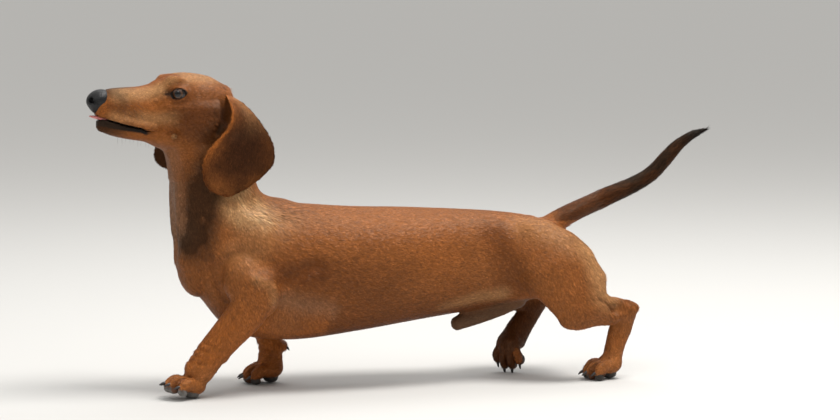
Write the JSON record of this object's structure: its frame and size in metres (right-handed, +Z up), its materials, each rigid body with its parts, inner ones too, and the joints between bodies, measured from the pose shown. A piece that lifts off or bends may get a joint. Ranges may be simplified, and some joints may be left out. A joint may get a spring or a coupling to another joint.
{
  "type": "dachshund model",
  "caption": "Life-size still model of a smooth-haired dachshund in mid-stride, head high and tail raised.",
  "frame": {"origin": "on the floor under the middle of the box around the dog", "axes": "the dog faces -X, its left side is -Y, +Z is up"},
  "size_m": [0.7366, 0.1486, 0.3604],
  "materials": {
    "coat": "short flat fur",
    "ears": "short flat fur",
    "tail": "short flat fur",
    "paws": "short flat fur",
    "nose": "moist",
    "tongue": "moist",
    "eyes": "wet gloss",
    "claws": "horn"
  },
  "bodies": {
    "root": {"head": "coat", "neck": "coat", "torso": "coat", "tail": "tail", "upper_arm_left": "coat", "forearm_left": "coat", "forepaw_left": "paws", "thigh_left": "coat", "hock_left": "coat", "hindpaw_left": "paws", "upper_arm_right": "coat", "forearm_right": "coat", "forepaw_right": "paws", "thigh_right": "coat", "hock_right": "coat", "hindpaw_right": "paws", "nose": "nose", "tongue": "tongue", "eye_left": "eyes", "eye_right": "eyes", "ear_left": "ears", "ear_right": "ears", "forepaw_left_claw_1": "claws", "forepaw_left_claw_2": "claws", "forepaw_left_claw_3": "claws", "forepaw_left_claw_4": "claws", "forepaw_right_claw_1": "claws", "forepaw_right_claw_2": "claws", "forepaw_right_claw_3": "claws", "forepaw_right_claw_4": "claws", "hindpaw_left_claw_1": "claws", "hindpaw_left_claw_2": "claws", "hindpaw_left_claw_3": "claws", "hindpaw_left_claw_4": "claws", "hindpaw_right_claw_1": "claws", "hindpaw_right_claw_2": "claws", "hindpaw_right_claw_3": "claws", "hindpaw_right_claw_4": "claws", "forearm_left_dewclaw": "claws", "forearm_right_dewclaw": "claws"}
  },
  "joints": []
}
